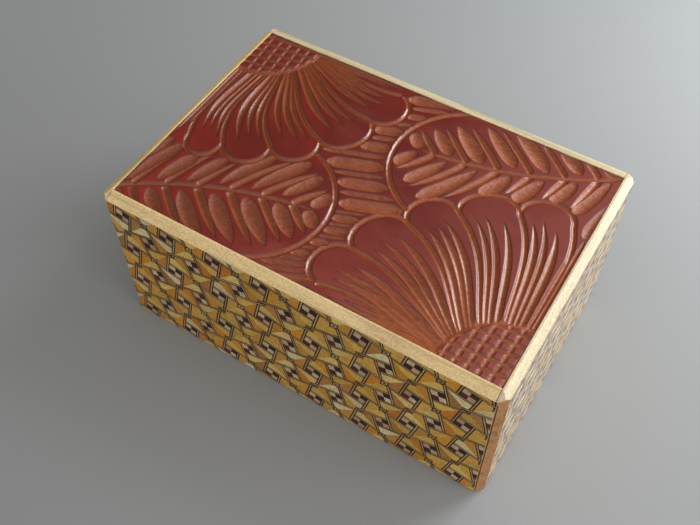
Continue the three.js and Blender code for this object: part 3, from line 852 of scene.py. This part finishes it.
class Carving:
    """Depth of the carving over the top, in millimetres, on a regular grid."""

    def __init__(self, half_x, half_y):
        self.half = (half_x, half_y)
        count = [int(round(2 * h / GRID_STEP)) + 1 for h in self.half]
        self.xs = np.linspace(-half_x, half_x, count[0])
        self.ys = np.linspace(-half_y, half_y, count[1])
        self.x, self.y = np.meshgrid(self.xs, self.ys, indexing="ij")
        self.depth = np.zeros_like(self.x)
        self.torn = np.zeros_like(self.x)

    def window(self, line, margin):
        """The rows and columns of the grid near a line."""
        spans = []
        for values, places in zip((self.xs, self.ys), zip(*line)):
            low, high = np.searchsorted(values, (min(places) - margin, max(places) + margin))
            spans.append(slice(low, high))
        return tuple(spans)

    def free_runs(self, line, clear):
        """Parts of a line that pass over clear ground, each as its own line. They may run off the board."""
        runs, run = [], []
        for point in line:
            spot = [int(round((c + h) / GRID_STEP)) for c, h in zip(point, self.half)]
            held = [min(max(s, 0), n - 1) for s, n in zip(spot, clear.shape)]
            beyond = max(abs(s - h) for s, h in zip(spot, held)) * GRID_STEP
            if beyond < RUN_OFF and clear[held[0], held[1]]:
                run.append(point)
            elif run:
                runs.append(run)
                run = []
        if run:
            runs.append(run)
        return [thinned(run) for run in runs if len(run) >= SHORTEST_RUN]

    def cut(self, line, width, deep, entry=0.0, leave=0.0, mask=None, flat=1.0, torn=0.0):
        """A groove along a line, narrowing over entry and leave, which are shares of its length. A flat
        above 1 gives the wide bottom and the round ends of a broad gouge. Torn says how fibrous it is."""
        spot = self.window(line, width)
        x, y = self.x[spot], self.y[spot]
        if x.size == 0:
            return
        lengths = [math.dist(p, q) for p, q in zip(line, line[1:])]
        total = sum(lengths)
        level = np.full_like(x, -1.0)
        passed = 0.0
        for (px, py), (qx, qy), length in zip(line, line[1:], lengths):
            dx, dy = (qx - px) / length, (qy - py) / length
            along = np.clip((x - px) * dx + (y - py) * dy, 0, length)
            gap = (x - px - along * dx) ** 2 + (y - py - along * dy) ** 2
            share = (passed + along) / total
            fade = (eased(share, entry) * eased(1 - share, leave)) ** (1 / flat)
            spread = (gap / (np.maximum(fade, NARROWEST) * width / 2) ** 2) ** flat
            level = np.maximum(level, fade * (1 - spread))
            passed += length
        value = deep * np.clip(level, 0, 1)
        if mask is not None:
            value = value * mask[spot]
        self.torn[spot] = np.where(value > self.depth[spot], torn, self.torn[spot])
        self.depth[spot] = np.maximum(self.depth[spot], value)

    def roughness(self):
        """Smooth random values from -1 to 1: long fibres along X, and shorter tool marks."""
        source = np.random.default_rng(ROUGH_SEED)
        rough = np.zeros_like(self.depth)
        for step_x, step_y, share in ROUGH_LAYERS:
            count = (int(2 * self.half[0] / step_x) + 3, int(2 * self.half[1] / step_y) + 3)
            field = source.uniform(-1, 1, count)
            u = (self.x + self.half[0]) / step_x
            v = (self.y + self.half[1]) / step_y
            i, j = u.astype(int), v.astype(int)
            a, b = u - i, v - j
            a, b = a * a * (3 - 2 * a), b * b * (3 - 2 * b)
            near_side = field[i, j] * (1 - b) + field[i, j + 1] * b
            far_side = field[i + 1, j] * (1 - b) + field[i + 1, j + 1] * b
            rough += share * (near_side * (1 - a) + far_side * a)
        return rough

    def finish(self):
        """Shallower cuts along the border, and small torn fibres and tool marks where the wood is cut."""
        room = np.minimum(self.half[0] - np.abs(self.x), self.half[1] - np.abs(self.y))
        self.depth *= EDGE_SHALLOW + (1 - EDGE_SHALLOW) * np.clip(room / EDGE_FADE, 0, 1)
        self.torn *= np.clip(self.depth / TORN_FULL_DEPTH, 0, 1)
        amount = ROUGH_SMOOTH_SHARE + (1 - ROUGH_SMOOTH_SHARE) * self.torn
        cut = np.clip(self.depth / ROUGH_FULL_DEPTH, 0, 1)
        self.depth += ROUGH_DEPTH * self.roughness() * amount * cut
        self.depth = np.maximum(self.depth, 0)


class Flower:
    """A flower in one corner of the top. side is 1 at the far left corner and -1 at the near right one.
    roots and tips are the angles of the lines between petals at the disc and at the petals' ends."""

    def __init__(self, carving, side, reach, roots, tips, disc_start, disc_leans):
        self.carving = carving
        self.side = side
        self.reach = reach
        self.roots = roots
        self.tips = tips
        self.disc_start = disc_start
        self.disc_leans = disc_leans
        self.cap = reach - PETAL_LOBE
        half_x, half_y = carving.half
        u, v = (carving.x + side * half_x) * side, (half_y * side - carving.y) * side
        self.radius = np.hypot(u, v)
        self.angle = np.degrees(np.arctan2(v, u))
        self.outside_disc = (self.radius > DISC_RADIUS).astype(float)
        self.inside_disc = (self.radius < DISC_RADIUS).astype(float)

    def from_corner(self, u, v):
        """Place on the board of a point given from the flower's corner, along X and along Y."""
        half_x, half_y = self.carving.half
        return (self.side * (u - half_x), self.side * (half_y - v))

    def point(self, radius, angle):
        turn = math.radians(angle)
        return self.from_corner(radius * math.cos(turn), radius * math.sin(turn))

    def edge(self, index, radius):
        """Angle of the line between two petals at a radius. Its bend is stated for the model's reach."""
        scale = (PETAL_MODEL_REACH - PETAL_ROOT) / (self.reach - PETAL_ROOT)
        level = PETAL_ROOT + (radius - PETAL_ROOT) * scale
        root, tip = self.roots[index], self.tips[index]
        bend = np.clip(PETAL_BEND - level, 0, None) / (PETAL_BEND - PETAL_ROOT)
        turn_back = np.clip(level - PETAL_BEND, 0, None) / PETAL_RETURN_LENGTH
        return tip - (tip - root) * bend ** 2 - PETAL_RETURN * turn_back ** 2

    def clearance(self, margin):
        """How far a place is outside the flower, from 0 inside to 1 beyond the margin."""
        last = self.edge(len(self.tips) - 1, self.radius)
        beyond = (self.radius - self.cap) / margin
        sideways = np.radians(self.angle - last) * self.radius / margin
        clear = np.maximum(beyond, sideways)
        for i in range(len(self.tips) - 1):
            low, high = self.edge(i, self.cap), self.edge(i + 1, self.cap)
            lean = (self.angle - (low + high) / 2) / ((high - low) / 2)
            lobe = self.cap + PETAL_LOBE * np.sqrt(np.clip(1 - lean ** 2, 0, 1))
            over = (self.radius - lobe) / margin
            clear = np.where(np.abs(lean) < 1, np.minimum(clear, over), clear)
        return np.clip(clear, 0, 1)

    def petal_side(self, index):
        """Line between two petals, from their tips to the disc."""
        return [self.point(r, self.edge(index, r)) for r in spaced(self.cap, DISC_RADIUS, PETAL_STEPS)]

    def petal_tip(self, low, high):
        """Round end of a petal between two angles."""
        line = []
        for turn in spaced(0, math.pi, PETAL_STEPS):
            lean = -math.cos(turn)
            radius = self.cap + PETAL_LOBE * math.sqrt(max(0, 1 - lean * lean))
            line.append(self.point(radius, (low + high) / 2 + lean * (high - low) / 2))
        return line

    def carve_vein(self, index, share, chooser):
        reach = self.cap + chooser.uniform(*VEIN_REACH_SPREAD)
        lean = share + chooser.uniform(*VEIN_LEAN_SPREAD)
        vein = []
        for radius in spaced(DISC_RADIUS, reach, PETAL_STEPS):
            start, end = self.edge(index, radius), self.edge(index + 1, radius)
            vein.append(self.point(radius, start + lean * (end - start)))
        deep = VEIN_DEPTH * chooser.uniform(*VEIN_DEPTH_SPREAD)
        width = VEIN_WIDTH * chooser.uniform(*VEIN_WIDTH_SPREAD)
        self.carving.cut(vein, width, deep, leave=0.5, mask=self.outside_disc, torn=0.12)

    def carve_petals(self, chooser):
        self.carving.cut(self.petal_side(0), OUTLINE_WIDTH, OUTLINE_DEPTH)
        for i in range(len(self.tips) - 1):
            tip = self.petal_tip(self.edge(i, self.cap), self.edge(i + 1, self.cap))
            outline = tip + self.petal_side(i + 1)[1:]
            self.carving.cut(outline, OUTLINE_WIDTH, OUTLINE_DEPTH, entry=0.06)
            for share in VEIN_SHARES:
                self.carve_vein(i, share, chooser)

    def carve_border_lines(self):
        """Straight lines beside the first and the last petal, along the borders."""
        for offset, length in BORDER_LINES:
            for across, leave in ((False, 0.6), (True, 0.3)):
                run = spaced(DISC_RADIUS, DISC_RADIUS + length, 6)
                line = [self.from_corner(*((offset, u) if across else (u, offset))) for u in run]
                self.carving.cut(line, BORDER_LINE_WIDTH, VEIN_DEPTH, leave=leave, mask=self.outside_disc)

    def carve_disc(self):
        """The flower's centre: a thick rim and two sets of slightly skewed lines."""
        rim = [self.point(DISC_RADIUS, angle) for angle in spaced(*DISC_RIM_ANGLES, 30)]
        self.carving.cut(rim, DISC_RIM_WIDTH, OUTLINE_DEPTH, torn=0.6)
        for across in (False, True):
            slope = math.tan(math.radians(self.disc_leans[across]))
            for k in range(int(DISC_RADIUS / DISC_SPACING) + 1):
                offset = self.disc_start[across] + k * DISC_SPACING
                line = []
                for along in (-2, DISC_RADIUS + 2):
                    aside = offset + slope * along
                    line.append(self.from_corner(*((aside, along) if across else (along, aside))))
                self.carving.cut(line, DISC_LINE, DISC_DEPTH, mask=self.inside_disc, flat=1.2, torn=0.7)


def headings_of(row, i):
    """Headings of a leaf's cut at its start and end, counted along the midrib."""
    start, end, start_change, end_change = row
    return (start + start_change * i, end + end_change * i)


class Leaf:
    """A leaf in one of the other corners: midrib, round edge, and narrow and broad cuts in turn. Its places
    are those of the near left corner, and a side of -1 turns them to the far right one."""

    def __init__(
            self, carving, side, base, length, headings, first_vein, vein_step, vein_width, centre, radius):
        self.carving = carving
        self.side = side
        self.length = length
        self.rib = bent_line(base, length, *headings)
        self.first_vein = first_vein
        self.vein_step = vein_step
        self.vein_width = vein_width
        self.edge = self.placed(arc(centre, radius, *LEAF_EDGE_ANGLES))
        x, y = carving.x * side, carving.y * side
        away = np.hypot(x - centre[0], y - centre[1]) - radius
        self.away = np.where(x < centre[0], -radius, away)

    def placed(self, line):
        return [(x * self.side, y * self.side) for x, y in line]

    def rib_point(self, distance):
        """Point at a distance along the midrib, which goes on straight before its start."""
        if distance < 0:
            (ax, ay), (bx, by) = self.rib[0], self.rib[1]
            back = distance / math.dist(self.rib[0], self.rib[1])
            return (ax + (bx - ax) * back, ay + (by - ay) * back)
        share = min(1.0, distance / self.length)
        return self.rib[int(round(share * (len(self.rib) - 1)))]

    def stroke(self, start, length, headings, clear, width, deep, entry, leave, flat, torn):
        """One cut over clear ground, narrower and shallower where it is short."""
        line = self.placed(bent_line(start, length, *headings))
        for run in self.carving.free_runs(line, clear)[:1]:
            share = min(1, math.dist(run[0], run[-1]) / SHORT_GOUGE)
            self.carving.cut(run, width * share, deep * share, entry, leave, flat=flat, torn=torn)

    def carve_vein(self, i, half, length, clear, chooser):
        foot = self.rib_point(self.first_vein + i * self.vein_step)
        width = self.vein_width[half["up"] < 0] * chooser.uniform(*LEAF_CUT_SPREAD)
        headings = headings_of(half["veins"], i)
        self.stroke(foot, length, headings, clear, width, VEIN_DEPTH, *LEAF_VEIN_TAPER, flat=1.0, torn=0.3)

    def carve_gouge(self, i, half, length, clear, chooser):
        foot = self.rib_point(self.first_vein + (i + GOUGE_PLACE) * self.vein_step)
        gap = chooser.uniform(*GOUGE_GAP_SPREAD)
        lean = math.cos(math.radians(half["gouges"][0])) / 2
        start = (foot[0] + gap * lean, foot[1] + gap * half["up"])
        width = GOUGE_WIDTH * chooser.uniform(*LEAF_CUT_SPREAD)
        deep = GOUGE_DEPTH * chooser.uniform(*GOUGE_DEPTH_SPREAD)
        headings = headings_of(half["gouges"], i)
        self.stroke(start, length, headings, clear, width, deep, *half["taper"], GOUGE_FLATNESS, torn=1.0)

    def carve(self, chooser, room):
        rib = self.placed(thinned(self.rib, 24))
        self.carving.cut(rib, OUTLINE_WIDTH, OUTLINE_DEPTH, leave=0.3)
        self.carving.cut(self.edge, OUTLINE_WIDTH, OUTLINE_DEPTH, mask=room)
        for i in range(LEAF_FIRST_GOUGE, LEAF_VEINS):
            length = LEAF_VEIN_LENGTH + (LEAF_ROOT_EXTRA if i == LEAF_FIRST_GOUGE else 0)
            if i == LEAF_VEINS - 1:
                margin = LEAF_LAST_MARGIN
            else:
                margin = LEAF_TIP_MARGIN + chooser.uniform(*LEAF_TIP_SPREAD)
            clear = (room > LEAF_ROOM) & (self.away < -margin)
            for half in LEAF_HALVES:
                if i >= 0:
                    self.carve_vein(i, half, length, clear, chooser)
                self.carve_gouge(i, half, length, clear, chooser)

    def carve_border_gouge(self, room):
        """One more gouge beside the border, past the leaf's first cuts."""
        self.stroke(
            BORDER_GOUGE_START, BORDER_GOUGE_LENGTH, BORDER_GOUGE_HEADINGS, room > LEAF_ROOM,
            GOUGE_WIDTH * BORDER_GOUGE_SHARE, GOUGE_DEPTH * BORDER_GOUGE_SHARE,
            entry=0.3, leave=0.4, flat=GOUGE_FLATNESS, torn=1.0)


def carve_ground(carving, chooser, clear):
    """Broad and narrow strokes in turn on the ground between the flowers and the leaves."""
    half_x, half_y = carving.half
    slope = math.tan(math.radians(GROUND_HEADING))
    rise = math.hypot(1, slope)
    offset = -half_y - half_x * slope
    broad = True
    while offset < half_y + half_x * slope:
        share = GROUND_FINE_SHARE if offset < GROUND_FINE_BELOW else 1.0
        width = GROUND_BROAD_WIDTH if broad else GROUND_NARROW_WIDTH
        width = width * share * chooser.uniform(*GROUND_WIDTH_SPREAD)
        middle = offset + width / 2 * rise
        heading = GROUND_HEADING + chooser.uniform(-GROUND_LEAN, GROUND_LEAN)
        start = (-half_x, middle - half_x * math.tan(math.radians(heading)))
        line = bent_line(start, 2 * half_x * rise, heading - GROUND_BEND, heading + GROUND_BEND)
        for run in carving.free_runs(line, clear):
            length = math.dist(run[0], run[-1])
            narrowed = min(width, length * GROUND_WIDEST_SHARE)
            deep = GOUGE_DEPTH * min(1, GROUND_SHALLOW + narrowed / GOUGE_WIDTH)
            entry = min(GROUND_POINT_SHARE, GROUND_POINT / length)
            leave = entry * GROUND_LEAVE_SHARE
            carving.cut(run, narrowed, deep, entry, leave, flat=GROUND_FLATNESS, torn=GROUND_TORN)
        offset += (width + GROUND_GAP * share) * rise
        broad = not broad


def carve_board(half_x, half_y):
    """The whole carving: leaves first, then the ground, then the flowers over both."""
    carving = Carving(half_x, half_y)
    chooser = random.Random(CARVING_SEED)
    far = Flower(
        carving, side=1, reach=68.3,
        roots=(2.9, 17, 35.3, 46.8, 61.3, 81.6), tips=(6.6, 22.9, 42.2, 58.7, 74.9, 87.2),
        disc_start=(2.0, 2.3), disc_leans=(-5, 5))
    near = Flower(
        carving, side=-1, reach=73.7,
        roots=(2.2, 16, 29, 47, 66.7, 84.5), tips=(5.7, 21, 39, 54.4, 72, 87.5),
        disc_start=(3.6, 0.6), disc_leans=(-5, -4))
    left_leaf = Leaf(
        carving, side=1, base=(-73, -44.8), length=71.4, headings=(36, 6),
        first_vein=4.5, vein_step=11.2, vein_width=(3.3, 3.3), centre=(-31, -23.5), radius=27)
    right_leaf = Leaf(
        carving, side=-1, base=(-72.5, -46.8), length=72.9, headings=(35, 4),
        first_vein=8.0, vein_step=11.35, vein_width=(3.1, 2.6), centre=(-26, -22.5), radius=27.5)
    room = far.clearance(OUTLINE_MARGIN) * near.clearance(OUTLINE_MARGIN)
    left_leaf.carve(chooser, room)
    right_leaf.carve(chooser, room)
    left_leaf.carve_border_gouge(room)
    beside_leaves = (left_leaf.away > GROUND_LEAF_GAP) & (right_leaf.away > GROUND_LEAF_GAP)
    carve_ground(carving, chooser, (room > GROUND_ROOM) & beside_leaves)
    for flower in (far, near):
        flower.carve_petals(chooser)
        flower.carve_border_lines()
        flower.carve_disc()
    carving.finish()
    return carving


def build_top(material):
    """The carved board: a fine grid on top, straight sides and the tongues along its long edges."""
    low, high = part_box("carved_top_panel")
    half_x = high.x / MM
    half_y = high.y / MM - TONGUE_OUT
    outer_y = half_y + TONGUE_OUT
    base = low.z / MM
    ledge = base + TONGUE_TOP
    carving = carve_board(half_x, half_y)
    points = np.stack([carving.x, carving.y, high.z / MM - carving.depth], -1).reshape(-1, 3)
    index = np.arange(carving.depth.size).reshape(carving.depth.shape)
    quads = np.stack([index[:-1, :-1], index[1:, :-1], index[1:, 1:], index[:-1, 1:]], -1).reshape(-1, 4)
    vertices = [tuple(p) for p in points]
    faces = [tuple(q) for q in quads.tolist()]

    def corner(x, y, z):
        vertices.append((x, y, z))
        return len(vertices) - 1

    def side(edge):
        """A wall from one edge of the grid down to the ledge."""
        lower = [corner(*vertices[i][:2], ledge) for i in edge]
        faces.extend(zip(edge, lower, lower[1:], edge[1:]))
        return lower

    def rectangle(z):
        return [corner(x * half_x, y * outer_y, z) for x, y in SQUARE_CORNERS]

    front, back = side(index[:, 0].tolist()), side(index[::-1, -1].tolist())
    side(index[-1, :].tolist())
    side(index[0, ::-1].tolist())
    for sign, row in ((-1, front), (1, back)):
        start = corner(half_x * sign, outer_y * sign, ledge)
        end = corner(-half_x * sign, outer_y * sign, ledge)
        faces.append(tuple(row) + (end, start))
    lower, upper = rectangle(base), rectangle(ledge)
    for i in range(4):
        j = (i + 1) % 4
        faces.append((lower[i], lower[j], upper[j], upper[i]))
    faces.append(tuple(reversed(lower)))

    metres = [tuple(c * MM for c in v) for v in vertices]
    mesh = new_mesh("carved_lacquer_top", metres, faces, [material])
    for attribute, field in (("cut", carving.depth), ("torn", carving.torn)):
        values = np.zeros(len(vertices))
        values[:field.size] = field.reshape(-1)
        mesh.attributes.new(attribute, "FLOAT", "POINT").data.foreach_set("value", values)
    smooth = np.zeros(len(faces), bool)
    smooth[:len(quads)] = True
    mesh.polygons.foreach_set("use_smooth", smooth)
    mesh.update()
    board = add_object("carved_lacquer_top", mesh)
    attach(board, "top")
    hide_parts("carved_top_panel")


# Plain woods, each made once
plain_woods = {}


def plain_wood(slot, axis, sheen_painted_tone=None, worn=False):
    """Wood of a slot with its grain along an axis, in a tone with painted sheen or else the slot's, or its
    worn edge.
    """
    key = (slot, axis, sheen_painted_tone, worn)
    if key not in plain_woods:
        tone, contrast, roughness = WOOD_LOOKS[slot]
        tone = sheen_painted_tone or tone
        name = f"{slot}_{axis}_{len(plain_woods)}"
        if worn:
            name += "_edges"
            tone, roughness = shaded(tone, EDGE_SHADE), roughness + EDGE_ROUGHNESS
        plain_woods[key] = wood_material(name, tone, axis, contrast, roughness)
    return plain_woods[key]


def dress_nodes():
    """Wood and worn edges for every solid of the part, with the grain along its longest side."""
    for part in frame["record"]["subparts"]:
        name, slot = part["node"], part["material_slot"]
        low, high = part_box(name)
        size = high - low
        axis = "xyz"[max(range(3), key=lambda i: size[i])]
        # The back and right rims take paler tones: painted sheen.
        sheen_painted_tone = RIM_TONES_PAINTED_SHEEN.get(name)
        solid = frame["nodes"][name]
        solid.data.materials.clear()
        solid.data.materials.append(plain_wood(slot, axis, sheen_painted_tone))
        solid.data.materials.append(plain_wood(slot, axis, sheen_painted_tone, worn=True))
        bevel = solid.modifiers.new("worn_edges", "BEVEL")
        bevel.width = EDGE_WIDTH * MM
        bevel.segments = 2
        bevel.limit_method = "ANGLE"
        bevel.angle_limit = math.radians(EDGE_ANGLE)
        bevel.material = 1


def main():
    bpy.context.scene.view_settings.view_transform = "Standard"
    add_camera()
    add_surroundings()
    for name, settings in LAMPS.items():
        add_lamp(name, **settings)
    add_floor()
    dress_nodes()
    side_inlay = marquetry_material("side_marquetry_woods", SIDE_VARNISH)
    # Ends: brightened and paled tones, painted light and painted sheen.
    painted_lit_end_inlay = marquetry_material("end_marquetry_painted_lit", END_VARNISH, END_PAINTED_LIGHT_LIFT, END_PAINTED_SHEEN_RICHNESS)
    bare = plain_wood("core_wood", "x")
    cell = partition_cell()
    for cad_name, body, axis, sign in SHEETS:
        inlay = side_inlay if axis == 1 else painted_lit_end_inlay
        dress_marquetry(cad_name, body, axis, sign, cell, (inlay, bare))
    build_top(lacquer_material())


main()
